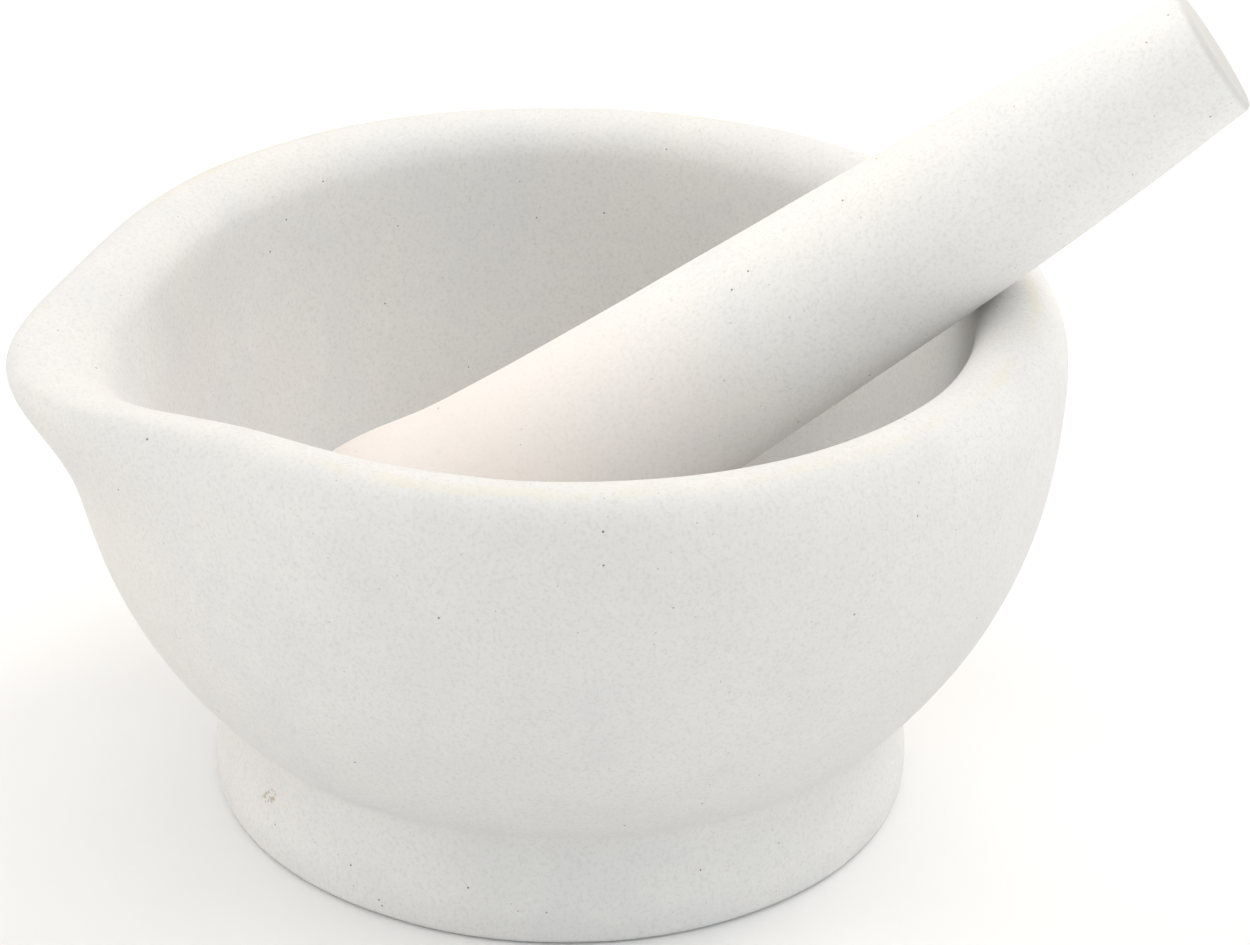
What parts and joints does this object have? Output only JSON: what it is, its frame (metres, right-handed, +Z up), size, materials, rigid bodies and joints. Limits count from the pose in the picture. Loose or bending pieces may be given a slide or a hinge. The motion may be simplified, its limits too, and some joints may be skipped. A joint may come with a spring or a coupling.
{
  "type": "mortar and pestle",
  "caption": "Footed bowl with a thick rolled rim and a pouring spout, and a tapered grinding rod that leans in it and lifts out.",
  "frame": {"origin": "centre of the foot's resting plane, on the bowl's turning axis", "axes": "+Z up along the bowl's turning axis, -X towards the pouring spout, +Y to the right of someone looking along -X from behind the bowl"},
  "size_m": [0.1188, 0.1, 0.085],
  "materials": {
    "bisque_porcelain": "matt, unglazed, fine grained"
  },
  "bodies": {
    "mortar": {"mortar": "bisque_porcelain"},
    "pestle": {"pestle": "bisque_porcelain"}
  },
  "joints": [
    {"name": "pestle_lift", "type": "slide", "parent": "mortar", "child": "pestle", "axis": [0, 0, 1], "range_m": [0, 0.06]}
  ]
}
